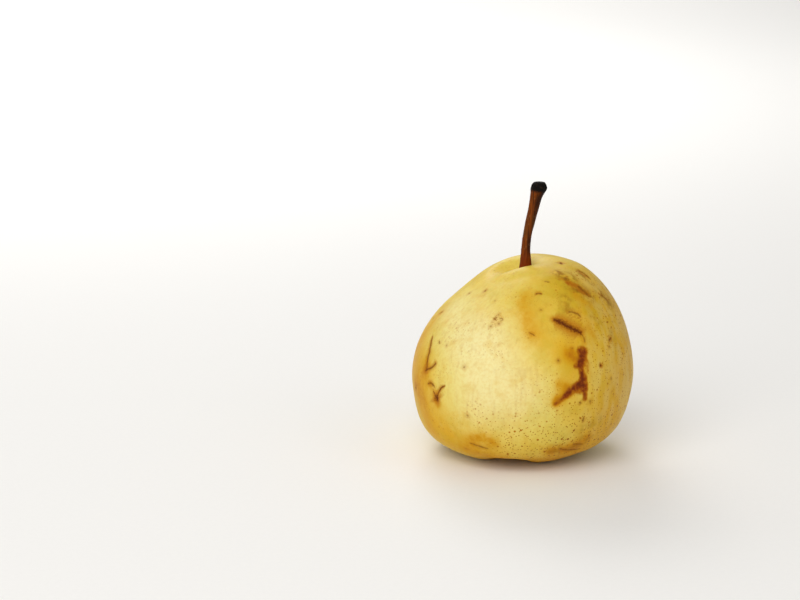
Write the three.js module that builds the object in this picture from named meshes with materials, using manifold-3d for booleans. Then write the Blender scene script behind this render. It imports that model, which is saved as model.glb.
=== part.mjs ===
// An Asian pear of the Chinese white kind, as picked, standing on its calyx end: the fruit, its woody stem
// and the dried calyx in the eye underneath. Millimetres, +Z up. The origin is on the surface that the pear
// stands on, at the middle of its outline. The full shoulder is on the +X side, and the front is the -Y side.

import * as THREE from "three";
import { ParametricGeometry } from "three/addons/geometries/ParametricGeometry.js";
import { mergeVertices } from "three/addons/utils/BufferGeometryUtils.js";
import Module from "manifold-3d";

// Driving dimensions.
const FRUIT_WIDTH = 75.4; // across the belly
const FRUIT_HEIGHT = 66.5; // from the resting lobes to the crest of the shoulder
const STEM_HEIGHT = 92.6; // from the resting surface to the stem's broken end
const STEM_RADIUS = 1.5; // at the thin middle of the stem
const LOBES = 5; // one for each carpel, around the eye
const PIECE_GAP = 0.3; // between pieces that touch

// Outlines of the fruit's two sides, from the eye's floor over the lobes, belly and shoulder to the floor of
// the stem cavity: [radius as a share of half the width, height as a share of the fruit's height]. Both have
// as many points.
const FULL_SIDE = [
  [0, 0.12], [0.1, 0.115], [0.2, 0.075], [0.31, 0.02], [0.42, -0.006], [0.66, 0.047],
  [0.83, 0.115], [0.945, 0.23], [1, 0.385], [0.98, 0.55], [0.895, 0.705], [0.745, 0.85],
  [0.555, 0.95], [0.34, 0.988], [0.17, 0.985], [0.08, 0.95], [0, 0.9],
];
const SLOPING_SIDE = [
  [0, 0.12], [0.1, 0.115], [0.2, 0.075], [0.31, 0.02], [0.42, -0.006], [0.71, 0.044],
  [0.88, 0.12], [0.965, 0.235], [1, 0.4], [0.94, 0.555], [0.785, 0.688], [0.58, 0.783],
  [0.43, 0.843], [0.315, 0.89], [0.21, 0.91], [0.08, 0.89], [0, 0.9],
];

const FULL_DIRECTION = 0.3; // of the fullest shoulder, behind +X
const SLOPE_SHARPNESS = 2; // how soon the full side gives way to the sloping one

// Near the stem the full side curls round to the front, and its lip hides the stem's foot.
const CURL_ANGLE = 0.8;
const CURL_START = 0.8; // as a share of the way from eye to stem
const CURL_END = 0.9;

// Lobes around the eye: valleys run up between them and fade out towards the belly.
const LOBE_ANGLE = 0.07; // of the lobe nearest to +X
const LOBE_CREST = 0.225; // where the lobes are strongest, as a share of the way from eye to stem
const LOBE_REACH = 0.13; // how far the valleys run either way, as the same share
const VALLEY_RISE = 5.5;
const VALLEY_SHARPNESS = 2; // how narrow the valleys are between the round lobes
const VALLEY_PINCH = 0.6;

// Broad ribs over the belly, in line with the lobes.
const RIB_DEPTH = 0.45;
const RIB_MIDDLE = 0.55;
const RIB_REACH = 0.4;

// The stem: its foot is seated in the fruit, and its end is a knob where it broke off the spur.
const SOCKET_DEPTH = 4;
const STEM_X = 0.8; // where the stem leaves the fruit
const STEM_LEAN = 3.7; // how far the broken end has moved towards +X
const STEM_LEAN_BACK = 0.8;
const STEM_BEND = 0.36; // where the stem starts to lean, as a share of its length
const STEM_FLARE = 1.35; // of the foot, as a share of the stem's radius

// [share of the stem's length, radius as a share of the stem's radius]
const STEM_OUTLINE = [
  [0, 0], [0, 1.2], [0.13, STEM_FLARE], [0.24, STEM_FLARE], [0.31, 1.14], [0.4, 1.0], [0.53, 1.0],
  [0.64, 1.1], [0.76, 1.13], [0.83, 1.23], [0.87, 1.38], [0.9, 1.68], [0.94, 1.8], [0.97, 1.72],
  [0.99, 1.4], [1, 0],
];

// The dried calyx: a low cup that opens downwards, with its rim drawn out into withered sepals.
const CALYX_RADIUS = 3.9;
const CALYX_HEIGHT = 3.4;
const SEPAL_LENGTH = 1.1;

// From the middle of the cup over the rim to the seat: [radius as a share of the calyx's radius, drop as a
// share of its height, 1 where the sepals lengthen it].
const CALYX_OUTLINE = [
  [0, 0.26, 0], [0.4, 0.32, 0], [0.62, 0.6, 0.3], [0.84, 0.95, 1], [1, 1, 1],
  [0.95, 0.75, 0.7], [0.85, 0.4, 0.2], [0.62, 0, 0], [0, 0, 0],
];

const MATERIALS = {
  skin: new THREE.MeshStandardMaterial({ color: 0xe3c866, roughness: 0.42, metalness: 0 }),
  stem: new THREE.MeshStandardMaterial({ color: 0x64301a, roughness: 0.6, metalness: 0 }),
  calyx: new THREE.MeshStandardMaterial({ color: 0x3a2616, roughness: 0.85, metalness: 0 }),
};

// 1 at the middle, falling smoothly to 0 at reach either way.
function hump(at, middle, reach) {
  const off = THREE.MathUtils.clamp((at - middle) / reach, -1, 1);
  return 0.5 + 0.5 * Math.cos(Math.PI * off);
}

function outlineCurve(points, radius, height) {
  return new THREE.SplineCurve(points.map(([r, h]) => new THREE.Vector2(r * radius, h * height)));
}

const fullSide = outlineCurve(FULL_SIDE, FRUIT_WIDTH / 2, FRUIT_HEIGHT);
const slopingSide = outlineCurve(SLOPING_SIDE, FRUIT_WIDTH / 2, FRUIT_HEIGHT);

// A point of the fruit's surface: turn is the share of a turn from +X, and way is the share of the way from
// eye to stem.
function fruitPoint(turn, way, target) {
  const angle = turn * 2 * Math.PI;
  const direction = FULL_DIRECTION - CURL_ANGLE * THREE.MathUtils.smoothstep(way, CURL_START, CURL_END);
  const fullness = 1 - (0.5 - 0.5 * Math.cos(angle - direction)) ** SLOPE_SHARPNESS;
  const point = slopingSide.getPoint(way).lerp(fullSide.getPoint(way), fullness);
  const valley = (0.5 - 0.5 * Math.cos(LOBES * (angle - LOBE_ANGLE))) ** VALLEY_SHARPNESS;
  const lobed = valley * hump(way, LOBE_CREST, LOBE_REACH);
  const ribbed = valley * hump(way, RIB_MIDDLE, RIB_REACH);
  const radius = Math.max(0, point.x - VALLEY_PINCH * lobed - RIB_DEPTH * ribbed);
  target.set(radius * Math.cos(angle), radius * Math.sin(angle), point.y + VALLEY_RISE * lobed);
}

const cavityFloor = fullSide.getPoint(1).y;
const stemFoot = cavityFloor - SOCKET_DEPTH;

// The stem's middle line: straight up out of its socket, then over to one side in an easy bend.
function stemMiddle(along) {
  const lean = THREE.MathUtils.smoothstep(along, STEM_BEND, 1);
  const height = THREE.MathUtils.lerp(stemFoot, STEM_HEIGHT, along);
  return new THREE.Vector3(STEM_X + STEM_LEAN * lean, STEM_LEAN_BACK * lean, height);
}

// A point of the stem's surface: the outline's radius, set square to the stem's middle line.
function stemPoint(turn, way, target) {
  const angle = turn * 2 * Math.PI;
  const row = Math.round(way * (STEM_OUTLINE.length - 1));
  const [along, share] = STEM_OUTLINE[row];
  const step = 0.02;
  const tangent = stemMiddle(along + step).sub(stemMiddle(along - step)).normalize();
  const right = new THREE.Vector3(0, 1, 0).cross(tangent).normalize();
  const back = new THREE.Vector3().crossVectors(tangent, right);
  target.copy(stemMiddle(along));
  target.addScaledVector(right, share * STEM_RADIUS * Math.cos(angle));
  target.addScaledVector(back, share * STEM_RADIUS * Math.sin(angle));
}

const calyxTop = fullSide.getPoint(0).y - 2 * PIECE_GAP;

// A point of the calyx's surface: it hangs from the eye's floor, and opens downwards.
function calyxPoint(turn, way, target) {
  const angle = turn * 2 * Math.PI;
  const row = Math.round(way * (CALYX_OUTLINE.length - 1));
  const [share, drop, drawn] = CALYX_OUTLINE[row];
  const sepal = 0.5 + 0.5 * Math.cos(LOBES * (angle - LOBE_ANGLE));
  const down = drop * CALYX_HEIGHT + drawn * (sepal - 1) * SEPAL_LENGTH;
  const radius = share * CALYX_RADIUS;
  target.set(radius * Math.cos(angle), radius * Math.sin(angle), calyxTop - down);
}

const wasm = await Module();
wasm.setup();

function solidOf(geometry) {
  const bare = geometry.clone();
  bare.deleteAttribute("normal");
  bare.deleteAttribute("uv");
  const merged = mergeVertices(bare);
  return new wasm.Manifold(
    new wasm.Mesh({
      numProp: 3,
      vertProperties: merged.attributes.position.array,
      triVerts: new Uint32Array(merged.index.array),
    }),
  );
}

function geometryOf(solid) {
  const mesh = solid.getMesh();
  const geometry = new THREE.BufferGeometry();
  geometry.setAttribute("position", new THREE.BufferAttribute(mesh.vertProperties, 3));
  geometry.setIndex(new THREE.BufferAttribute(mesh.triVerts, 1));
  geometry.computeVertexNormals();
  return geometry;
}

// Everything below the resting surface, which flattens the lobes where the pear's weight bears on them.
function belowGround() {
  const size = 2 * FRUIT_WIDTH;
  return solidOf(new THREE.BoxGeometry(size, size, size).translate(0, 0, -size / 2));
}

// The hole that the stem's foot is seated in.
function stemSocket() {
  const radius = STEM_RADIUS * STEM_FLARE + PIECE_GAP;
  const depth = SOCKET_DEPTH + PIECE_GAP;
  const around = 24;
  const hole = new THREE.CylinderGeometry(radius, radius, 2 * depth, around).rotateX(Math.PI / 2);
  return solidOf(hole.translate(STEM_X, 0, cavityFloor));
}

function fruitGeometry() {
  const around = 60;
  const eyeToStem = 48;
  const whole = solidOf(new ParametricGeometry(fruitPoint, around, eyeToStem));
  return geometryOf(whole.subtract(belowGround()).subtract(stemSocket()));
}

function stemGeometry() {
  const around = 16;
  return geometryOf(solidOf(new ParametricGeometry(stemPoint, around, STEM_OUTLINE.length - 1)));
}

function calyxGeometry() {
  const around = 30;
  return geometryOf(solidOf(new ParametricGeometry(calyxPoint, around, CALYX_OUTLINE.length - 1)));
}

function piece(name, geometry, material) {
  const mesh = new THREE.Mesh(geometry, material);
  mesh.name = name;
  return mesh;
}

const pear = new THREE.Group();
pear.add(
  piece("fruit", fruitGeometry(), MATERIALS.skin),
  piece("stem", stemGeometry(), MATERIALS.stem),
  piece("calyx", calyxGeometry(), MATERIALS.calyx),
);

// The origin is under the middle of the outline.
const middle = new THREE.Box3().setFromObject(pear).getCenter(new THREE.Vector3());
pear.position.set(-middle.x, -middle.y, 0);

export default pear;
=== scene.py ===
# Looks of an Asian pear of the Chinese white kind, standing on its calyx end: the skin with its dots,
# scars and bruise, the woody stem with its broken knob, and the dried calyx underneath. Shapes are worked
# out in millimetres about the fruit's own axis, and moved into the CAD frame when their meshes are made.

import math

import bpy
import numpy as np
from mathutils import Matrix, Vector, noise


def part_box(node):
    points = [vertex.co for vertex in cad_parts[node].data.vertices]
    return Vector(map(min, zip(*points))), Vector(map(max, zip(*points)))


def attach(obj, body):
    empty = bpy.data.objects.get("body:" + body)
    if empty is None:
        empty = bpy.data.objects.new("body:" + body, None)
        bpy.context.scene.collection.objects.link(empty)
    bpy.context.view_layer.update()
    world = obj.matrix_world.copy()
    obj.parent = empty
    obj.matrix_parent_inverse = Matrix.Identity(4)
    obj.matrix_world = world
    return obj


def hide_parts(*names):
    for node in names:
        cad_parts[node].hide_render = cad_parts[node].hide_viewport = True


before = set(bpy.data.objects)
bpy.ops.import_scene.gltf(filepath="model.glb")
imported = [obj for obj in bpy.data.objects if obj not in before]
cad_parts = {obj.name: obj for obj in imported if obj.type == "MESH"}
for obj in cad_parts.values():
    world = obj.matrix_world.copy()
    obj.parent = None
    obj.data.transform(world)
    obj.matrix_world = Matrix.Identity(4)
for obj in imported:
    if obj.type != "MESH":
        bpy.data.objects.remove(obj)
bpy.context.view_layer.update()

MM = 0.001
TURN = 2 * math.pi

# --------------------------------------------------------------------------------------------------
# Driving dimensions, the same as the CAD part's, in millimetres.

FRUIT_WIDTH = 75.4
FRUIT_HEIGHT = 66.5
STEM_HEIGHT = 92.6
STEM_RADIUS = 1.5
LOBES = 5
PIECE_GAP = 0.3

# Outlines of the fruit's two sides, from the eye's floor over the lobes, belly and shoulder to the floor
# of the stem cavity: [radius as a share of half the width, height as a share of the fruit's height].
FULL_SIDE = [
    [0, 0.12], [0.1, 0.115], [0.2, 0.075], [0.31, 0.02], [0.42, -0.006], [0.66, 0.047],
    [0.83, 0.115], [0.945, 0.23], [1, 0.385], [0.98, 0.55], [0.895, 0.705], [0.745, 0.85],
    [0.555, 0.95], [0.34, 0.988], [0.17, 0.985], [0.08, 0.95], [0, 0.9],
]
SLOPING_SIDE = [
    [0, 0.12], [0.1, 0.115], [0.2, 0.075], [0.31, 0.02], [0.42, -0.006], [0.71, 0.044],
    [0.88, 0.12], [0.965, 0.235], [1, 0.4], [0.94, 0.555], [0.785, 0.688], [0.58, 0.783],
    [0.43, 0.843], [0.315, 0.89], [0.21, 0.91], [0.08, 0.89], [0, 0.9],
]
FULL_DIRECTION = 0.3
SLOPE_SHARPNESS = 2
CURL_ANGLE = 0.8
CURL_START = 0.8
CURL_END = 0.9

LOBE_ANGLE = 0.07
LOBE_CREST = 0.225
LOBE_REACH = 0.13
VALLEY_RISE = 5.5
VALLEY_SHARPNESS = 2
VALLEY_PINCH = 0.6
RIB_DEPTH = 0.45
RIB_MIDDLE = 0.55
RIB_REACH = 0.4

SOCKET_DEPTH = 4
STEM_X = 0.8
STEM_LEAN = 3.7
STEM_LEAN_BACK = 0.8
STEM_BEND = 0.36

# --------------------------------------------------------------------------------------------------
# Marks on the skin, in millimetres across and up the side of the pear that they are seen from.
#
# These places weren't worked out here. Many were picked on the photograph and turned into millimetres: most
# of SCARS and of the painted rim light band, half of BRUISES, and some of the stains and smudges. Many were
# picked on the photograph and turned into millimetres by a separate program, and its numbers were typed in:
# most of SCARS and of the PAINTED_RIM_LIGHT_BAND, half of BRUISES, and some of the stains and smudges. The
# rest were added or moved.

# Corky scars and dots on the front: (half width, how dark, path).
SCARS = [
    (1.0, 1.0, [(8.5, 52), (10, 51.4), (13, 49.8), (16, 48.2), (17.2, 47.4)]),
    (0.3, 0.35, [(17.2, 47.4), (18.3, 46), (18.4, 44.6)]),
    (0.4, 0.5, [(13.2, 54), (15.5, 53.4), (17.2, 52.2)]),
    (0.3, 0.7, [(2.7, 58.9), (3.6, 59.2), (4.7, 59.1)]),
    (0.25, 0.3, [(6, 62.4), (7.6, 62.1)]),
    (0.55, 0.8, [(12.2, 65.6), (12.4, 65.5)]),
    (0.3, 0.4, [(4.3, 54.7)]),
    (0.4, 0.5, [(17.9, 63.8), (19.9, 62.8), (21.6, 61.3)]),
    (0.25, 0.5, [(0.3, 48.3), (1.9, 47.5)]),
    (0.8, 0.45, [(17.2, 60.4), (19.2, 59), (20.6, 57.4)]),
    (0.35, 0.4, [(25.3, 56.3), (27.4, 54.4)]),
    (0.35, 0.8, [(27.1, 43.3), (27.9, 43.9)]),
    (0.3, 0.5, [(27, 41.5)]),
    (0.6, 1.0, [(23.9, 36.8), (24.2, 36.4)]),
    (0.4, 0.4, [(27.7, 31.8), (27.9, 31)]),
    (0.35, 0.6, [(9.5, 39.9)]),
    (0.3, 0.5, [(14.1, 43.2)]),
    (0.4, 0.5, [(16.7, 25.8), (17.3, 25.5)]),
    (0.4, 0.5, [(20.4, 25.5)]),
    (0.4, 0.5, [(18.4, 20.3), (18.2, 18.7)]),
    (0.35, 0.6, [(-10.8, 51.2), (-10.3, 51.1)]),
    (0.35, 0.5, [(-9.3, 50.1)]),
    (0.2, 0.4, [(-9, 51.6), (-8.3, 51.6), (-7.9, 51)]),
    (0.35, 0.3, [(-11.9, 49.1)]),
    (0.3, 0.3, [(-10.2, 55.7)]),
    (0.3, 0.4, [(-9.3, 52.5)]),
    (0.4, 0.75, [(-30.7, 42), (-31.4, 38.6), (-32.3, 35.4), (-32.6, 32.7)]),
    (0.7, 0.75, [(-32.7, 32.4), (-33, 31.8)]),
    (0.6, 0.75, [(-29.7, 35.4), (-30, 35.1)]),
    (0.35, 0.75, [(-29.8, 35.2), (-31.2, 33.4), (-32.8, 32.3)]),
    (0.3, 0.4, [(-28.5, 41.8), (-28.4, 41)]),
    (0.25, 0.4, [(-26.2, 41.5)]),
    (0.35, 0.65, [(-32.3, 28), (-31.3, 28.7), (-30.1, 28)]),
    (1.15, 1.0, [(-29.7, 24.9), (-29.2, 23.5)]),
    (0.3, 0.85, [(-29.4, 24.4), (-28.8, 26.6), (-28, 28.2), (-26.8, 29.3)]),
    (0.25, 0.7, [(-30.6, 26.4), (-29.6, 25)]),
    (0.35, 0.4, [(-20.6, 36.4)]),
    (0.35, 0.45, [(-19.5, 20.7)]),
    (0.3, 0.4, [(-19.6, 7.8)]),
    (0.35, 0.5, [(-18.4, 10.4), (-15.8, 9.8), (-12.8, 9.2)]),
    (0.4, 0.6, [(10.8, 9), (14, 8), (17.9, 7.5)]),
    (0.3, 0.5, [(15.2, 10.4), (18.6, 9.6)]),
]

# Brown bruised skin on the front: (half width, strength, path).
BRUISES = [
    (1.1, 1.0, [(17.2, 42.2), (17.5, 40.8), (17.1, 38.6)]),
    (0.8, 0.9, [(18.6, 42), (17.6, 40)]),
    (0.7, 0.75, [(15.4, 37.8), (16.8, 38.2)]),
    (0.6, 0.35, [(18.6, 40.2), (19.3, 38), (19.3, 35.6)]),
    (0.8, 0.9, [(17.2, 38.6), (17.3, 36), (17.9, 33.5)]),
    (1.0, 0.95, [(17.9, 33.6), (18.2, 31.8), (18.3, 30.2)]),
    (0.7, 0.75, [(18.3, 30.4), (18.6, 28.6), (18.6, 26.8)]),
    (1.0, 1.0, [(17.6, 32.4), (15, 30.9), (12.6, 29.1)]),
    (0.6, 0.7, [(12.8, 29.3), (10.6, 27.4), (8.8, 26.1)]),
    (1.1, 0.6, [(17.4, 31), (16.4, 30)]),
    (1.0, 0.4, [(14.2, 61.4), (17, 60.2), (19.6, 58)]),
    (0.6, 0.3, [(11, 62.8), (14.3, 61.6)]),
    (0.6, 0.3, [(18.2, 63.6), (21, 61.8)]),
]

# Soft stains and zones of colour on the front: (radius, strength, path). Some are painted light and shade:
# painted shade on the left edge, the right flank and along the bottom, a painted highlight left of the
# middle, and a painted rim light along the right shoulder.
AMBER_STAINS_AND_SHADE = [
    (2.8, 1.0, [(13.4, 41.6), (15.4, 40)]),
    (2.0, 0.8, [(9.5, 27.4), (13, 30)]),
    (2.2, 0.6, [(10, 32.5), (12, 31.5)]),
    (1.8, 0.7, [(8.6, 26.4)]),
    (3.6, 0.42, [(-0.2, 58), (-1, 55.5), (-0.4, 52)]),
    (3.0, 0.55, [(1.2, 48)]),
    (2, 0.35, [(-13.8, 56)]),
    (1.4, 0.5, [(17.8, 46), (18.4, 44)]),
    (2.4, 0.9, [(-32.6, 33.4), (-33, 31.4)]),
    # Along the left edge: orange that is partly the skin's own and partly painted shade, and lower down
    # painted shade.
    (6, 0.4, [(-35.5, 40), (-35, 22)]),
    (4.5, 0.45, [(-34.5, 24), (-31, 12)]),
    (1.8, 0.6, [(-31.6, 28.2)]),
    (2, 0.7, [(-29.6, 25.4), (-29.2, 22.4)]),
    (3.0, 0.6, [(-18, 12), (-15.2, 13.4), (-11, 11.4)]),
    (3.2, 0.75, [(8, 8.5), (14, 9), (19.5, 11.5)]),
    (2.6, 0.5, [(16, 58.4), (20, 55)]),
    (2, 0.5, [(19.6, 48.6), (21.6, 46)]),
    # Along the bottom: painted shade towards the floor.
    (4, 0.55, [(-20, 8), (-8, 5), (6, 4), (18, 6)]),
]
OLIVE_SMUDGES = [
    (2.4, 0.8, [(10.5, 64), (14.5, 63)]),
    (2.8, 0.85, [(14, 61.5), (17, 60), (20.5, 57.3)]),
    (1.8, 0.6, [(18, 63.4), (21.5, 61)]),
    (2.6, 0.65, [(25, 57), (28.5, 53)]),
    (2.8, 0.5, [(12.5, 57.5), (13, 54)]),
    (2.0, 0.35, [(21, 52), (24, 49)]),
    (2.4, 0.35, [(28, 46), (29, 42)]),
    (2.6, 0.35, [(18, 16), (24, 18)]),
    (3.0, 0.45, [(9, 9), (14, 8.5), (20, 12)]),
]
# Gold: the skin's own golden patches, with painted shade on the two flanks and along the bottom.
GOLD_AND_SHADE_ZONES = [
    # Left edge: gold that is partly the skin's own and partly painted shade.
    (8.5, 1.0, [(-35.5, 44), (-36.5, 34), (-35, 24), (-31, 13)]),
    # Right flank: gold that is partly the skin's own and partly painted shade.
    (13, 1.0, [(28, 54), (33, 42), (32, 30), (28, 16)]),
    (7, 0.85, [(13, 62), (19, 53), (17, 44)]),
    (5, 0.7, [(0, 57), (3, 48)]),
    (5, 0.7, [(12, 43), (14, 36), (12, 30)]),
    # Along the bottom: painted shade towards the floor.
    (8, 0.9, [(-25, 11), (-14, 5), (0, 3), (14, 4), (25, 10)]),
]
GREEN_ZONES = [
    (9, 0.9, [(12, 64), (17, 58), (22, 54)]),
    (6, 0.6, [(6, 60), (9, 53)]),
    (7, 0.35, [(-12, 58), (-2, 61)]),
]
# Painted rim light: a pale beige band along the edge of the right shoulder stands in for light from behind.
PAINTED_RIM_LIGHT_BAND = [
    (2.6, 0.4, [(8.8, 65.5), (15, 64), (20.2, 60.7), (24.8, 57.4), (29.8, 51.8), (33.6, 44.6)]),
]
# Painted highlight: a pale cream zone left of the middle of the front stands in for the key light's broad
# soft highlight.
PAINTED_HIGHLIGHT_ZONES = [
    (13, 0.8, [(-16, 44), (-14, 30)]),
    (9, 0.5, [(-24, 50), (-2, 30)]),
]

# --------------------------------------------------------------------------------------------------
# Small helpers for shapes.


def smooth(low, high, value):
    """0 below low and 1 above high, with a smooth step between."""
    share = np.clip((value - low) / (high - low), 0, 1)
    return share * share * (3 - 2 * share)


def hump(at, middle, reach):
    """1 at the middle, falling smoothly to 0 at reach either way."""
    return 0.5 + 0.5 * np.cos(math.pi * np.clip((at - middle) / reach, -1, 1))


def curve_points(points, share):
    """Points of the smooth curve through the given points, at shares of the way along it."""
    points = np.asarray(points, float)
    last = len(points) - 1
    at = np.asarray(share) * last
    i = np.minimum(np.floor(at).astype(int), last - 1)
    w = (at - i)[..., None]
    before = points[np.where(i == 0, i, i - 1)]
    start = points[i]
    end = points[i + 1]
    after = points[np.minimum(i + 2, last)]
    leave = (end - before) / 2
    arrive = (after - start) / 2
    cubic = (2 * start - 2 * end + leave + arrive) * w**3
    return cubic + (3 * end - 3 * start - 2 * leave - arrive) * w**2 + leave * w + start


def lumps(points, size, seed=0):
    """Smooth noise between about -1 and 1 at each point, with lumps of about the given size."""
    shift = Vector((seed * 17.3, seed * 5.1, seed * 9.7))
    return np.array([noise.noise(Vector(p) / size + shift) for p in points])


def woven(rings):
    """Points and faces of a closed mesh from rings of points. The first and last ring are one point each."""
    count, around = rings.shape[:2]
    points = np.concatenate([rings[0, :1], rings[1:-1].reshape(-1, 3), rings[-1, :1]])
    here = np.arange(around)
    beside = (here + 1) % around
    faces = [(0, 1 + b, 1 + a) for a, b in zip(here, beside)]
    for ring in range(count - 3):
        low = 1 + ring * around
        high = low + around
        faces += [(low + a, low + b, high + b, high + a) for a, b in zip(here, beside)]
    top = len(points) - 1
    low = top - around
    faces += [(low + a, low + b, top) for a, b in zip(here, beside)]
    return points, faces


def make_piece(name, points, faces, material):
    """A smooth-shaded object from points in millimetres about the fruit's axis."""
    mesh = bpy.data.meshes.new(name)
    mesh.from_pydata(((points + AXIS_SHIFT) * MM).tolist(), [], faces)
    mesh.polygons.foreach_set("use_smooth", [True] * len(mesh.polygons))
    mesh.materials.append(material)
    mesh.update()
    piece = bpy.data.objects.new(name, mesh)
    bpy.context.scene.collection.objects.link(piece)
    return piece


def give_numbers(piece, name, values):
    """Stores one number or one vector for each of the piece's points, for its material to read."""
    kind, key = ("FLOAT", "value") if values.ndim == 1 else ("FLOAT_VECTOR", "vector")
    attribute = piece.data.attributes.new(name, kind, "POINT")
    attribute.data.foreach_set(key, values.astype(np.float32).ravel())


def normals_of(points, faces):
    """The direction out of the mesh at each point."""
    mesh = bpy.data.meshes.new("normals")
    mesh.from_pydata(points.tolist(), [], faces)
    mesh.update()
    out = np.zeros(len(points) * 3, np.float32)
    mesh.vertices.foreach_get("normal", out)
    bpy.data.meshes.remove(mesh)
    return out.reshape(-1, 3).astype(float)


# --------------------------------------------------------------------------------------------------
# The fruit's shape.


def fruit_surface(angle, way):
    """Points of the fruit: angle from +X, and way from the eye to the stem. It is the CAD part's formula."""
    direction = FULL_DIRECTION - CURL_ANGLE * smooth(CURL_START, CURL_END, way)
    fullness = 1 - (0.5 - 0.5 * np.cos(angle - direction)) ** SLOPE_SHARPNESS
    outline = (1 - fullness)[..., None] * curve_points(SLOPING_SIDE, way)
    outline = outline + fullness[..., None] * curve_points(FULL_SIDE, way)
    valley = (0.5 - 0.5 * np.cos(LOBES * (angle - LOBE_ANGLE))) ** VALLEY_SHARPNESS
    lobed = valley * hump(way, LOBE_CREST, LOBE_REACH)
    ribbed = valley * hump(way, RIB_MIDDLE, RIB_REACH)
    radius = outline[..., 0] * FRUIT_WIDTH / 2 - VALLEY_PINCH * lobed - RIB_DEPTH * ribbed
    radius = np.maximum(radius, 0)
    height = outline[..., 1] * FRUIT_HEIGHT + VALLEY_RISE * lobed
    return np.stack([radius * np.cos(angle), radius * np.sin(angle), np.maximum(height, 0)], -1)


def even_ways(count):
    """Shares of the way from eye to stem that are evenly spaced along the fruit's outline."""
    fine = np.linspace(0, 1, 2001)
    outline = (curve_points(FULL_SIDE, fine) + curve_points(SLOPING_SIDE, fine)) / 2
    steps = np.linalg.norm(np.diff(outline * [FRUIT_WIDTH / 2, FRUIT_HEIGHT], axis=0), axis=1)
    run = np.concatenate([[0], np.cumsum(steps)])
    return np.interp(np.linspace(0, run[-1], count), run, fine)


AROUND = 560  # points in each ring of the skin
RINGS = 172
angles = np.arange(AROUND) / AROUND * TURN
ways = even_ways(RINGS)
skin_rings = fruit_surface(*np.broadcast_arrays(angles[None, :], ways[:, None]))
skin_points, skin_faces = woven(skin_rings)
skin_out = normals_of(skin_points, skin_faces)

# What moves the fruit's own axis to its place in the CAD frame.
fruit_low, fruit_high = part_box("fruit")
fruit_middle = (np.array(fruit_low) + np.array(fruit_high)) / 2 / MM
own_middle = (skin_points.min(0) + skin_points.max(0)) / 2
AXIS_SHIFT = np.array([fruit_middle[0] - own_middle[0], fruit_middle[1] - own_middle[1], 0])

# --------------------------------------------------------------------------------------------------
# Marks: from paths on a side of the pear to numbers at the skin's points.


def on_skin(facing, path, step=0.8):
    """A path across and up one side, laid on the skin. Facing is its angle from the front, in degrees."""
    turn = math.radians(facing)
    across = np.array([math.cos(turn), math.sin(turn), 0])
    towards = np.array([math.sin(turn), -math.cos(turn), 0])
    path = np.array(path, float)
    if len(path) > 1:
        length = np.linalg.norm(np.diff(path, axis=0), axis=1).sum()
        path = curve_points(path, np.linspace(0, 1, max(2, math.ceil(length / step) + 1)))
    depth = skin_points @ towards
    near_side = np.flatnonzero(depth > 0)
    side_across = skin_points[near_side] @ across
    side_up = skin_points[near_side, 2]
    laid = []
    for u, v in path:
        nearest = near_side[np.argmin((side_across - u) ** 2 + (side_up - v) ** 2)]
        laid.append(u * across + depth[nearest] * towards + np.array([0, 0, v]))
    return np.array(laid)


def around_path(path, reach):
    """Skin points within reach of a path: their numbers, offsets from it, and how far along it they are."""
    inside = np.all((skin_points > path.min(0) - reach) & (skin_points < path.max(0) + reach), axis=1)
    index = np.flatnonzero(inside)
    close = skin_points[index]
    offset = close - path[0]
    size = np.linalg.norm(offset, axis=1)
    along = np.full(len(index), 0.5 if len(path) == 1 else 0.0)
    for number, (start, end) in enumerate(zip(path[:-1], path[1:])):
        run = end - start
        share = np.clip((close - start) @ run / (run @ run), 0, 1)
        from_run = close - start - share[:, None] * run
        run_size = np.linalg.norm(from_run, axis=1)
        better = run_size < size
        offset[better] = from_run[better]
        size[better] = run_size[better]
        along[better] = ((number + share) / (len(path) - 1))[better]
    return index, offset, along


class CrispMarks:
    """The offset of each skin point from its nearest mark, in that mark's half widths. From the offset a
    material can work out the distance to the mark even between the mesh's points."""

    SLACK = 0.7  # the mesh's spacing: nearer than this, the offset alone says how far away the mark is
    FAR = 50  # beyond every mark

    def __init__(self, name):
        self.name = name
        self.distance = np.full(len(skin_points), float(self.FAR))
        self.offset = np.full((len(skin_points), 3), float(self.FAR))
        self.guard = np.full(len(skin_points), float(self.FAR))
        self.dark = np.zeros(len(skin_points))

    def add(self, index, offset, half_width, dark):
        distance = np.linalg.norm(offset, axis=1) / half_width
        better = distance < self.distance[index]
        chosen = index[better]
        self.distance[chosen] = distance[better]
        self.offset[chosen] = (offset / np.reshape(half_width, (-1, 1)))[better]
        guard = np.maximum(0, np.linalg.norm(offset, axis=1) - self.SLACK) / half_width
        self.guard[chosen] = guard[better]
        self.dark[chosen] = np.broadcast_to(dark, distance.shape)[better]

    def give(self, piece):
        give_numbers(piece, self.name, self.offset)
        give_numbers(piece, self.name + "_guard", self.guard)
        give_numbers(piece, self.name + "_dark", self.dark)


SCAR_REACH = 5  # how far from its path a scar is worked out


def scar_marks(marks):
    """Scars and dots that taper towards the ends of their paths."""
    scars = CrispMarks("scar")
    for facing, half_width, dark, path in marks:
        index, offset, along = around_path(on_skin(facing, path), SCAR_REACH)
        taper = 0.45 + 0.55 * np.sin(math.pi * along) ** 0.5
        scars.add(index, offset, half_width * taper, dark)
    return scars


def soft_marks(marks, edge=None):
    """One number at each skin point, up to 1 at the marks. It fades like a blur, or within edge if given."""
    left = np.ones(len(skin_points))
    for facing, radius, strength, path in marks:
        index, offset, along = around_path(on_skin(facing, path), 2.5 * radius)
        share = np.linalg.norm(offset, axis=1) / radius
        cover = np.exp(-(share**2)) if edge is None else 1 - smooth(1 - edge, 1 + edge, share)
        left[index] *= 1 - strength * cover
    return 1 - left


def on_front(marks):
    return [(0, *mark) for mark in marks]


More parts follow.
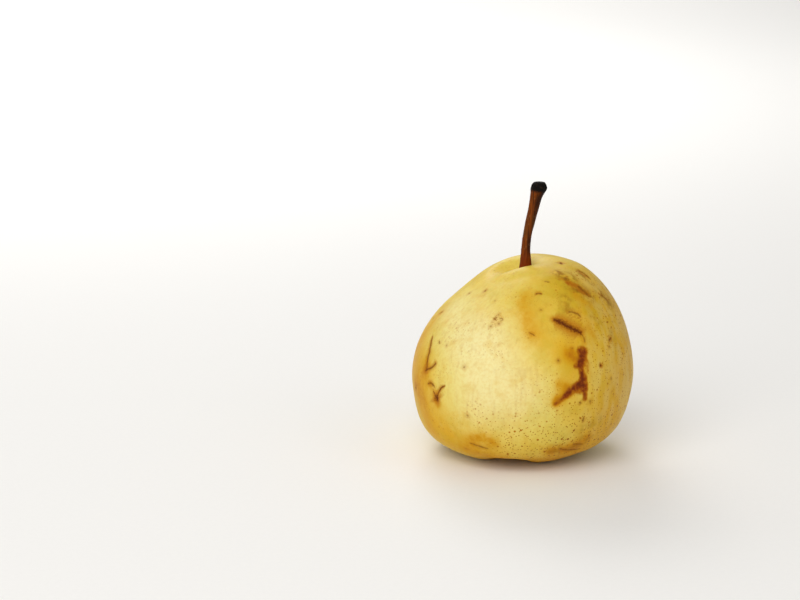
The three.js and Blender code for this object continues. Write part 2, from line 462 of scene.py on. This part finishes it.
def dotted_skin():
    """How thick the fine corky dots stand at each skin point: most low down and on the full side."""
    low = smooth(32, 12, skin_points[:, 2]) * smooth(-26, 12, skin_points[:, 0])
    right = smooth(6, 28, skin_points[:, 0])
    patches = 0.3 * lumps(skin_points, 9, 7)
    return np.clip(0.12 + 0.8 * np.maximum(low, 0.5 * right) + patches, 0, 1)


def invented_marks():
    """Scars, stains and gold zones for the back and the sides, drawn at random in the front's style."""
    draw = np.random.default_rng(21)
    scars = []
    stains = []
    zones = []
    for facing in range(75, 300, 15):
        place = np.array([draw.uniform(-8, 8), draw.uniform(10, 56)])
        lean = draw.uniform(0, TURN)
        run = np.array([math.cos(lean), math.sin(lean)]) * draw.uniform(0.6, 4)
        bend = draw.normal(0, 0.5, 2)
        path = [place, place + run / 2 + bend, place + run]
        scars.append((facing, draw.uniform(0.25, 0.5), draw.uniform(0.35, 0.9), path))
        spot = np.array([draw.uniform(-8, 8), draw.uniform(8, 58)])
        scars.append((facing, draw.uniform(0.3, 0.5), draw.uniform(0.3, 0.7), [spot]))
        stains.append((facing, draw.uniform(1.5, 3), draw.uniform(0.3, 0.7), [place, place + run]))
        middle = np.array([draw.uniform(-8, 8), draw.uniform(12, 54)])
        radius = draw.uniform(4, 9)
        strength = draw.uniform(0.3, 0.6)
        zones.append((facing, radius, strength, [middle, middle + draw.normal(0, 6, 2)]))
    return scars, stains, zones


# --------------------------------------------------------------------------------------------------
# Materials.


class Shader:
    """A material's nodes. Each method adds one node and returns what comes out of it."""

    def __init__(self, name):
        self.material = bpy.data.materials.new(name)
        self.material.use_nodes = True
        self.tree = self.material.node_tree
        self.surface = next(n for n in self.tree.nodes if n.type == "BSDF_PRINCIPLED")

    def add(self, kind, values=None, **settings):
        node = self.tree.nodes.new(kind)
        for key, value in settings.items():
            setattr(node, key, value)
        for key, value in (values or {}).items():
            self.put(node.inputs[key], value)
        return node

    def put(self, socket, value):
        """Links a node's output to the socket, or sets the socket to a plain value."""
        if isinstance(value, bpy.types.NodeSocket):
            self.tree.links.new(value, socket)
        else:
            socket.default_value = value

    def math(self, operation, *values, clamp=False):
        values = dict(enumerate(values))
        return self.add("ShaderNodeMath", values, operation=operation, use_clamp=clamp).outputs[0]

    def step(self, value, low, high):
        """0 to 1 as the value goes from low to high, smoothly."""
        values = {"Value": value, "From Min": low, "From Max": high}
        return self.add("ShaderNodeMapRange", values, interpolation_type="SMOOTHSTEP").outputs[0]

    def mix(self, factor, first, second):
        """A colour between the first and the second."""
        node = self.add("ShaderNodeMix", data_type="RGBA")
        self.put(node.inputs[0], factor)
        self.put(node.inputs[6], first)
        self.put(node.inputs[7], second)
        return node.outputs[2]

    def noise(self, size, detail=2.0, stretch=None):
        """Noise from 0 to 1 with features of the given size in millimetres."""
        where = self.add("ShaderNodeTexCoord").outputs["Object"]
        if stretch is not None:
            where = self.add("ShaderNodeMapping", {"Vector": where, "Scale": stretch}).outputs[0]
        values = {"Vector": where, "Scale": 1 / (size * MM), "Detail": detail}
        return self.add("ShaderNodeTexNoise", values).outputs["Fac"]

    def number(self, name):
        return self.add("ShaderNodeAttribute", attribute_name=name).outputs["Fac"]

    def distance(self, name):
        """How far away the nearest of some crisp marks is, in its half widths."""
        offset = self.add("ShaderNodeAttribute", attribute_name=name).outputs["Vector"]
        length = self.add("ShaderNodeVectorMath", {0: offset}, operation="LENGTH").outputs["Value"]
        return self.math("MAXIMUM", length, self.number(name + "_guard"))

    def dots(self, spacing, radius, share):
        """1 inside random dots, in millimetres. Share is how many of the places have a dot."""
        where = self.add("ShaderNodeTexCoord").outputs["Object"]
        cells = self.add("ShaderNodeTexVoronoi", {"Vector": where, "Scale": 1 / (spacing * MM)})
        chance = self.add("ShaderNodeSeparateColor", {"Color": cells.outputs["Color"]}).outputs[0]
        away = self.math("MULTIPLY", cells.outputs["Distance"], spacing)
        inside = self.step(away, radius, 0.35 * radius)
        return self.math("MULTIPLY", inside, self.step(chance, 1 - share, 1.15 - share))

    def bump(self, height, depth, before=None):
        """Surface relief, depth in millimetres for a height of 1."""
        values = {"Height": height, "Distance": depth * MM, "Strength": 1.0}
        if before is not None:
            values["Normal"] = before
        return self.add("ShaderNodeBump", values).outputs[0]


def rgb(red, green, blue):
    """A colour for a shader from its usual numbers from 0 to 255."""
    linear = [((c / 255 + 0.055) / 1.055) ** 2.4 if c > 10 else c / 255 / 12.92 for c in (red, green, blue)]
    return (*linear, 1)


# The pale cream of the painted highlight.
HIGHLIGHT_CREAM = rgb(240, 228, 166)
YELLOW = rgb(228, 198, 80)
LEMON = rgb(226, 206, 96)
GOLD = rgb(216, 164, 20)
GREEN = rgb(196, 164, 30)
BEIGE = rgb(222, 190, 100)
ORANGE = rgb(208, 150, 6)
AMBER = rgb(182, 112, 0)
OLIVE = rgb(160, 112, 4)
RUST = rgb(140, 76, 0)
BROWN = rgb(132, 54, 0)
DARK_BROWN = rgb(92, 34, 0)
OLIVE_BROWN = rgb(114, 66, 2)


def skin_material():
    s = Shader("pear_skin")
    broad = s.noise(16, 3)
    patchy = s.noise(4.5, 4)
    fine = s.noise(0.9, 3)
    streaky = s.noise(1.6, 2, stretch=(1, 1, 0.12))

    # Ground colours, which run into each other softly. The pale cream is a painted highlight, and the gold
    # is partly painted shade.
    colour = s.mix(s.step(broad, 0.35, 0.7), YELLOW, LEMON)
    # Painted highlight: pale cream where the key light's broad highlight falls.
    colour = s.mix(s.number("pale"), colour, HIGHLIGHT_CREAM)
    # The gold is partly the skin's own colour and partly painted shade on the flanks and along the bottom.
    gold = s.math("MULTIPLY", s.number("gold"), s.step(patchy, 0.0, 0.5))
    colour = s.mix(gold, colour, GOLD)
    green = s.math("MULTIPLY", s.number("green"), s.step(patchy, 0.8, 0.3))
    colour = s.mix(green, colour, GREEN)
    # Less green mottling under the painted highlight.
    mottle = s.math("MULTIPLY", s.step(s.noise(7, 4), 0.45, 0.68), s.math("SUBTRACT", 1.0, s.number("pale")))
    colour = s.mix(s.math("MULTIPLY", mottle, 0.3), colour, GREEN)
    colour = s.mix(s.math("MULTIPLY", s.step(patchy, 0.48, 0.75), 0.3), colour, GOLD)
    colour = s.mix(s.math("MULTIPLY", s.step(fine, 0.35, 0.75), 0.2), colour, GOLD)
    colour = s.mix(s.math("MULTIPLY", s.step(streaky, 0.5, 0.75), 0.15), colour, AMBER)
    bands = s.step(s.noise(3.2, 4, stretch=(1, 1, 0.35)), 0.38, 0.62)
    colour = s.mix(s.math("MULTIPLY", s.number("weathered"), 0.55), colour, s.mix(bands, GOLD, BEIGE))
    # Painted rim light: pale beige along the right shoulder's edge.
    colour = s.mix(s.number("painted_rim_light"), colour, BEIGE)
    uneven = s.math("MULTIPLY_ADD", s.noise(1.8, 4), 1.1, 0.35)
    amber = s.math("MULTIPLY", s.number("amber"), uneven)
    # The amber is mostly stains, with painted shade on the left edge and along the bottom.
    colour = s.mix(s.step(amber, 0.05, 0.7), colour, ORANGE)
    colour = s.mix(s.math("MULTIPLY", s.step(amber, 0.4, 1.1), 0.9), colour, AMBER)
    smudge = s.math("MULTIPLY", s.number("smudge"), s.step(s.noise(2.0, 5), 0.25, 0.65))
    colour = s.mix(s.step(smudge, 0.0, 0.8), colour, OLIVE)
    colour = s.mix(s.math("MULTIPLY", s.step(smudge, 0.45, 1.0), 0.6), colour, OLIVE_BROWN)

    # Lenticels: many fine ones, and some larger.
    fine_dots = s.math("MULTIPLY", s.dots(0.85, 0.28, 0.9), s.number("dotted"))
    large_dots = s.math("MULTIPLY", s.dots(1.9, 0.56, 0.5), s.number("dotted"))
    dot_strength = s.math("MAXIMUM", fine_dots, large_dots)
    colour = s.mix(s.step(dot_strength, 0.0, 0.5), colour, AMBER)
    colour = s.mix(s.step(dot_strength, 0.35, 1.1), colour, RUST)

    # The bruise: soft at its edges, and uneven inside.
    bruise = s.math("MULTIPLY", s.number("bruise"), s.math("MULTIPLY_ADD", s.noise(1.1, 5), 1.7, 0.05))
    colour = s.mix(s.step(bruise, 0.02, 0.45), colour, AMBER)
    colour = s.mix(s.step(bruise, 0.25, 0.9), colour, BROWN)
    colour = s.mix(s.math("MULTIPLY", s.step(bruise, 0.75, 1.2), 0.8), colour, DARK_BROWN)

    # Scars: dark along the middle, with rusty edges.
    scar_edge = s.math("MULTIPLY_ADD", s.noise(0.6, 4), 2.0, s.distance("scar"))
    scar = s.step(scar_edge, 2.6, 0.9)
    halo = s.math("MULTIPLY", s.step(scar_edge, 6.0, 1.2), s.number("scar_dark"))
    colour = s.mix(halo, colour, AMBER)
    scar_colour = s.mix(s.number("scar_dark"), OLIVE_BROWN, DARK_BROWN)
    cover = s.math("MULTIPLY_ADD", s.number("scar_dark"), 0.65, 0.3, clamp=True)
    scar_strength = s.math("MULTIPLY", scar, cover)
    colour = s.mix(scar_strength, colour, scar_colour)

    s.put(s.surface.inputs["Base Color"], colour)
    worn = s.math("MULTIPLY_ADD", scar_strength, 0.3, s.math("MULTIPLY_ADD", fine, 0.14, 0.4))
    s.put(s.surface.inputs["Roughness"], s.math("MULTIPLY_ADD", s.number("bruise"), 0.1, worn))
    relief = s.bump(s.noise(0.55, 2), 0.03)
    relief = s.bump(s.noise(3.5, 3), 0.1, relief)
    relief = s.bump(dot_strength, 0.02, relief)
    relief = s.bump(s.math("MULTIPLY", scar_strength, s.noise(0.35, 3)), 0.2, relief)
    s.put(s.surface.inputs["Normal"], relief)
    s.surface.inputs["Subsurface Weight"].default_value = 0.12
    s.surface.inputs["Subsurface Radius"].default_value = (1.0, 0.55, 0.15)
    s.surface.inputs["Subsurface Scale"].default_value = 2.5 * MM
    s.surface.inputs["Specular IOR Level"].default_value = 0.13
    return s.material


def stem_material():
    s = Shader("stem_bark")
    fibres = s.noise(0.5, 4, stretch=(1, 1, 0.08))
    blotches = s.noise(2.5, 3, stretch=(1, 1, 0.4))
    bark = s.mix(s.step(fibres, 0.3, 0.7), rgb(72, 30, 2), rgb(126, 60, 6))
    bark = s.mix(s.math("MULTIPLY", s.step(blotches, 0.5, 0.75), 0.6), bark, rgb(92, 62, 20))
    bark = s.mix(s.math("MULTIPLY", s.number("foot"), 0.8), bark, rgb(126, 46, 0))
    bark = s.mix(s.math("MULTIPLY", s.number("wart"), 0.5), bark, rgb(134, 92, 50))
    knob = s.step(s.math("MULTIPLY_ADD", s.noise(1.2, 4), 0.6, s.number("knob")), 0.45, 1.0)
    knob_colour = s.mix(s.step(s.noise(0.7, 4), 0.5, 0.75), rgb(12, 8, 5), rgb(36, 24, 12))
    # Darker towards the knob's colour on the right side: painted shade, and near the top the knob's dark
    # running down.
    bark = s.mix(s.math("MULTIPLY", s.number("knob_run_and_shade"), 0.8), bark, knob_colour)
    s.put(s.surface.inputs["Base Color"], s.mix(knob, bark, knob_colour))
    smoothest = s.math("MULTIPLY_ADD", knob, 0.15, 0.42)
    s.put(s.surface.inputs["Roughness"], s.math("MULTIPLY_ADD", fibres, 0.25, smoothest))
    s.surface.inputs["Specular IOR Level"].default_value = 0.08
    relief = s.bump(fibres, 0.12)
    relief = s.bump(s.noise(0.3, 3), 0.05, relief)
    s.put(s.surface.inputs["Normal"], relief)
    return s.material


def calyx_material():
    s = Shader("calyx_dry")
    wrinkles = s.noise(0.6, 4)
    colour = s.mix(s.step(wrinkles, 0.35, 0.7), rgb(38, 24, 14), rgb(104, 72, 42))
    colour = s.mix(s.math("MULTIPLY", s.step(s.noise(1.6, 3), 0.5, 0.75), 0.5), colour, rgb(140, 108, 66))
    s.put(s.surface.inputs["Base Color"], colour)
    s.put(s.surface.inputs["Roughness"], s.math("MULTIPLY_ADD", wrinkles, 0.25, 0.62))
    s.put(s.surface.inputs["Normal"], s.bump(wrinkles, 0.15))
    return s.material


def floor_material():
    s = Shader("floor_paper")
    grain = s.noise(1.5, 3)
    s.put(s.surface.inputs["Base Color"], s.mix(grain, rgb(240, 238, 234), rgb(244, 242, 238)))
    s.put(s.surface.inputs["Roughness"], s.math("MULTIPLY_ADD", grain, 0.1, 0.75))
    return s.material


# --------------------------------------------------------------------------------------------------
# The pieces.


BROAD_LUMPS = 0.22  # height of the skin's slow lumps
SMALL_LUMPS = 0.07
SCAR_GROOVE = 0.3
BRUISE_HOLLOW = 0.25
BRUISE_SPREAD = 1.18  # where a bruise has faded by half, in its half widths


def build_skin():
    scars, stains, zones = invented_marks()
    scar_field = scar_marks(on_front(SCARS) + scars)
    bruises = [(BRUISE_SPREAD * half_width, strength, path) for half_width, strength, path in BRUISES]
    bruise = soft_marks(on_front(bruises), edge=1.0)

    # Relief: slow lumps all over, a groove along each scar, and a hollow under the bruise.
    rise = BROAD_LUMPS * lumps(skin_points, 14, 1) + SMALL_LUMPS * lumps(skin_points, 5, 2)
    grooves = SCAR_GROOVE * scar_field.dark * np.exp(-(scar_field.distance**2))
    rise = rise - grooves - BRUISE_HOLLOW * bruise
    points = skin_points + skin_out * rise[:, None]
    points[:, 2] = np.maximum(points[:, 2], 0)

    piece = make_piece("fruit_skin", points, skin_faces, skin_material())
    scar_field.give(piece)
    give_numbers(piece, "dotted", dotted_skin())
    weathered = smooth(10, 30, skin_points[:, 0]) * smooth(4, 14, skin_points[:, 2])
    give_numbers(piece, "weathered", weathered)
    give_numbers(piece, "bruise", bruise)
    # amber: stains, with painted shade on the left edge and along the bottom.
    give_numbers(piece, "amber", soft_marks(on_front(AMBER_STAINS_AND_SHADE) + stains))
    from_axis = np.linalg.norm(skin_points[:, :2], axis=1)
    eye_russet = 0.8 * smooth(11, 4, from_axis) * (skin_points[:, 2] < FRUIT_HEIGHT / 2)
    give_numbers(piece, "smudge", np.maximum(soft_marks(on_front(OLIVE_SMUDGES)), eye_russet))
    # gold: partly the skin's own colour, partly painted shade on the flanks and along the bottom.
    give_numbers(piece, "gold", soft_marks(on_front(GOLD_AND_SHADE_ZONES) + zones))
    give_numbers(piece, "green", soft_marks(on_front(GREEN_ZONES)))
    # The painted rim light along the right shoulder.
    give_numbers(piece, "painted_rim_light", soft_marks(on_front(PAINTED_RIM_LIGHT_BAND)))
    # pale: the painted highlight left of the middle of the front.
    give_numbers(piece, "pale", soft_marks(on_front(PAINTED_HIGHLIGHT_ZONES)))
    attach(piece, "root")
    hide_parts("fruit")
    return piece


cavity_floor = FULL_SIDE[-1][1] * FRUIT_HEIGHT
stem_foot = cavity_floor - SOCKET_DEPTH


def stem_middle(along):
    """Points of the stem's middle line, as in the CAD part."""
    lean = smooth(STEM_BEND, 1, along)
    height = stem_foot + (STEM_HEIGHT - stem_foot) * along
    return np.stack([STEM_X + STEM_LEAN * lean, STEM_LEAN_BACK * lean, height], -1)


STEM_END = 0.985  # where the rings stop and the dished end starts, as a share of the stem's length
STEM_OVERHANG = 0.75  # of the knob, towards +X
STEM_WARTS = 34

# The stem's outline: [share of its length, radius as a share of STEM_RADIUS].
STEM_OUTLINE = [
    [0, 0.9], [0.1, 1.35], [0.2, 1.42], [0.28, 1.2], [0.36, 1.02], [0.5, 0.98], [0.62, 1.06],
    [0.72, 1.14], [0.82, 1.25], [0.87, 1.4], [0.9, 1.6], [0.93, 1.78], [0.96, 1.76], [0.975, 1.5],
    [STEM_END, 1.1],
]

# The dished end: [radius as a share of the last ring's, rise above it].
STEM_DISH = [[0.86, 0.12], [0.68, 0.02], [0.45, -0.18], [0.2, -0.25], [0.0, -0.25]]


def stem_warts(angle, along):
    """1 at the middle of each raised pale wart on the bark, falling to 0 around it."""
    draw = np.random.default_rng(3)
    wart = np.zeros((len(along), len(angle)))
    length = STEM_HEIGHT - stem_foot
    for _ in range(STEM_WARTS):
        at = draw.uniform(0.3, 0.86)
        facing = draw.uniform(0, TURN)
        size = draw.uniform(0.18, 0.34)
        around_gap = (np.mod(angle - facing + math.pi, TURN) - math.pi) * STEM_RADIUS
        along_gap = (along - at) * length
        gap = (around_gap[None, :] / size) ** 2 + (along_gap[:, None] / (1.5 * size)) ** 2
        wart = np.maximum(wart, np.exp(-gap * 1.5))
    return wart


def build_stem():
    around = 96
    rings = 230
    angle = np.arange(around) / around * TURN
    outline = np.array(STEM_OUTLINE)
    along = np.linspace(0, STEM_END, rings)
    share = np.interp(along, outline[:, 0], outline[:, 1])
    blur = np.hanning(15) / np.hanning(15).sum()
    share = np.convolve(np.pad(share, 7, mode="edge"), blur, mode="valid")
    middle = stem_middle(along)
    tangent = np.gradient(middle, axis=0)
    tangent /= np.linalg.norm(tangent, axis=1, keepdims=True)
    right = np.cross([0, 1, 0], tangent)
    right /= np.linalg.norm(right, axis=1, keepdims=True)
    back = np.cross(tangent, right)
    out = np.cos(angle)[None, :, None] * right[:, None] + np.sin(angle)[None, :, None] * back[:, None]

    # Soft ridges run up the bark, and the knob is lumpy.
    girth = 1.6 * np.stack([np.cos(angle), np.sin(angle)])
    spots = np.stack(np.broadcast_arrays(girth[0][None, :], girth[1][None, :], along[:, None] * 4.5), -1)
    ridges = lumps(spots.reshape(-1, 3), 0.5, 4).reshape(rings, around)
    coarse = lumps((spots * [1, 1, 6]).reshape(-1, 3), 1.4, 5).reshape(rings, around)
    knobby = smooth(0.84, 0.93, along)[:, None]
    knob_lumps = knobby * (0.1 * coarse + 0.05 * ridges)
    radius = STEM_RADIUS * share[:, None] * (1 + 0.045 * ridges + 0.03 * coarse + knob_lumps)
    wart = stem_warts(angle, along)
    radius = radius + 0.09 * wart

    # The knob stands out on the side that the stem leans to, and its broken end is dished.
    overhang = STEM_OVERHANG * smooth(0.84, 0.95, along)[:, None, None] * right[:, None]
    points = middle[:, None] + radius[..., None] * out + overhang
    end = points[-1].mean(0)
    dish = [end + (points[-1] - end) * scale + tangent[-1] * rise for scale, rise in STEM_DISH]
    foot = np.broadcast_to(points[0].mean(0), (1, around, 3))
    mesh_points, faces = woven(np.concatenate([foot, points, dish]))
    piece = make_piece("stem_bark", mesh_points, faces, stem_material())

    def whole_stem(values, at_foot, at_dish):
        """A number for each of the mesh's points: the foot's, the rings' and the dished end's."""
        rings_values = np.broadcast_to(values, (rings, around)).ravel()
        return np.concatenate([[at_foot], rings_values, np.full((len(dish) - 1) * around + 1, at_dish)])

    give_numbers(piece, "knob", whole_stem(smooth(0.865, 0.955, along)[:, None], 0, 1))
    give_numbers(piece, "foot", whole_stem(1 - smooth(0.2, 0.42, along)[:, None], 1, 0))
    # Painted shade down the stem's shaded right side, and near the top the knob's dark bark running down
    # that side.
    darkened = 0.5 * smooth(0.2, 0.4, along) + 0.5 * smooth(0.6, 0.9, along)
    knob_run_and_shade = darkened[:, None] * smooth(0.3, 0.95, np.cos(angle + 0.6))[None, :]
    give_numbers(piece, "knob_run_and_shade", whole_stem(knob_run_and_shade, 0, 1))
    give_numbers(piece, "wart", whole_stem(wart, 0, 0))
    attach(piece, "root")
    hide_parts("stem")
    return piece


CALYX_RADIUS = 3.9
CALYX_HEIGHT = 3.4
SEPAL_LENGTH = 1.1
calyx_top = FULL_SIDE[0][1] * FRUIT_HEIGHT - 2 * PIECE_GAP

# From the middle of the cup over the rim to the seat: [radius as a share of the calyx's, drop as a share of
# its height, 1 where the sepals lengthen it].
CALYX_OUTLINE = [
    [0, 0.26, 0], [0.4, 0.32, 0], [0.62, 0.6, 0.3], [0.84, 0.95, 1], [1, 1, 1],
    [0.95, 0.75, 0.7], [0.85, 0.4, 0.2], [0.62, 0, 0], [0, 0, 0],
]


def build_calyx():
    around = 180
    rings = 70
    angle = np.arange(around) / around * TURN
    outline = curve_points(CALYX_OUTLINE, np.linspace(0, 1, rings))
    sepal = 0.5 + 0.5 * np.cos(LOBES * (angle - LOBE_ANGLE))
    drop = outline[:, 1:2] * CALYX_HEIGHT + outline[:, 2:3] * (sepal ** 0.7 - 1)[None, :] * SEPAL_LENGTH
    radius = np.maximum(0, outline[:, 0:1]) * CALYX_RADIUS * np.ones(around)
    points = np.stack([radius * np.cos(angle), radius * np.sin(angle), calyx_top - drop], -1)
    withered = lumps(points.reshape(-1, 3), 0.9, 6).reshape(rings, around)
    points[..., 2] += 0.25 * withered * outline[:, 2:3]
    points[..., :2] *= 1 + 0.06 * withered[..., None] * outline[:, 2:3, None]
    mesh_points, faces = woven(points)
    piece = make_piece("calyx_sepals", mesh_points, faces, calyx_material())
    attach(piece, "root")
    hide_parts("calyx")
    return piece


STAMENS = 20


def build_stamens():
    """Dried stamens in the calyx cup, all one mesh."""
    draw = np.random.default_rng(11)
    all_points = []
    all_faces = []
    around = 8
    rings = 9
    angle = np.arange(around) / around * TURN
    along = np.linspace(0, 1, rings)
    for number in range(STAMENS):
        facing = number / STAMENS * TURN + draw.normal(0, 0.1)
        start = np.array([math.cos(facing), math.sin(facing), 0]) * draw.uniform(1.2, 1.9)
        start[2] = calyx_top - 0.3 * CALYX_HEIGHT + 0.2
        end = start * [0.45, 0.45, 1] - [0, 0, draw.uniform(1.2, 2.1)]
        bend = draw.normal(0, 0.25, 3)
        middle = start + (end - start) * along[:, None] + bend * np.sin(math.pi * along)[:, None]
        radius = 0.09 * (1 + 1.2 * smooth(0.8, 0.95, along)) * np.minimum(1, np.sin(math.pi * along) * 4)
        ring = np.stack([np.cos(angle), np.sin(angle), np.zeros(around)], -1)
        points, faces = woven(middle[:, None] + radius[:, None, None] * ring[None, :, ::1] * [1, -1, 1])
        base = sum(len(p) for p in all_points)
        all_points.append(points)
        all_faces += [tuple(base + v for v in face) for face in faces]
    piece = make_piece("calyx_stamens", np.concatenate(all_points), all_faces, calyx_material())
    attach(piece, "root")
    return piece


# --------------------------------------------------------------------------------------------------
# The floor, the light and the camera.


FLOOR_REACH = 12  # metres either way
FLOOR_DROP = 0.05  # millimetres below the resting surface


def build_floor():
    size = FLOOR_REACH
    mesh = bpy.data.meshes.new("floor")
    corners = [(-size, -size, 0), (size, -size, 0), (size, size, 0), (-size, size, 0)]
    mesh.from_pydata(corners, [], [(0, 1, 2, 3)])
    mesh.materials.append(floor_material())
    floor = bpy.data.objects.new("floor", mesh)
    floor.location.z = -FLOOR_DROP * MM
    bpy.context.scene.collection.objects.link(floor)


def aim(thing, place, target):
    thing.location = place
    thing.rotation_euler = (Vector(target) - Vector(place)).to_track_quat("-Z", "Y").to_euler()


def add_light(name, place, size, power, target=(0, 0, 0.035)):
    light = bpy.data.lights.new(name, "AREA")
    light.shape = "SQUARE"
    light.size = size
    light.energy = power
    lamp = bpy.data.objects.new(name, light)
    bpy.context.scene.collection.objects.link(lamp)
    aim(lamp, place, target)


def light_scene():
    add_light("key", (-0.5, -1.0, 0.95), 1.2, 13.9)
    add_light("top", (-0.2, 0.2, 1.4), 1.2, 1)
    add_light("fill", (0.9, -0.6, 0.8), 0.6, 1.1)
    add_light("backdrop", (-0.4, 1.05, 0.8), 0.8, 8, target=(-0.4, 1.2, 0))
    add_light("far_backdrop", (-0.4, 2.6, 1.5), 1.2, 22, target=(-0.4, 2.4, 0))
    world = bpy.data.worlds.new("studio")
    world.use_nodes = True
    world.node_tree.nodes["Background"].inputs["Color"].default_value = (1, 1, 1, 1)
    world.node_tree.nodes["Background"].inputs["Strength"].default_value = 0.36
    bpy.context.scene.world = world
    bpy.context.scene.view_settings.view_transform = "Standard"


# Where the camera looks, in millimetres from the fruit's axis, and from how far away.
CAMERA_TARGET = np.array([-41.4, 0, 52])
CAMERA_DISTANCE = 638
CAMERA_ELEVATION = 13
CAMERA_LENS = 85
CAMERA_SENSOR = 36


def place_camera():
    elevation = math.radians(CAMERA_ELEVATION)
    back = np.array([0, -math.cos(elevation), math.sin(elevation)]) * CAMERA_DISTANCE
    target = (CAMERA_TARGET + AXIS_SHIFT) * MM
    data = bpy.data.cameras.new("camera")
    data.lens = CAMERA_LENS
    data.sensor_width = CAMERA_SENSOR
    camera = bpy.data.objects.new("camera", data)
    bpy.context.scene.collection.objects.link(camera)
    aim(camera, target + back * MM, target)
    bpy.context.scene.camera = camera


place_camera()
build_skin()
build_stem()
build_calyx()
build_stamens()
build_floor()
light_scene()
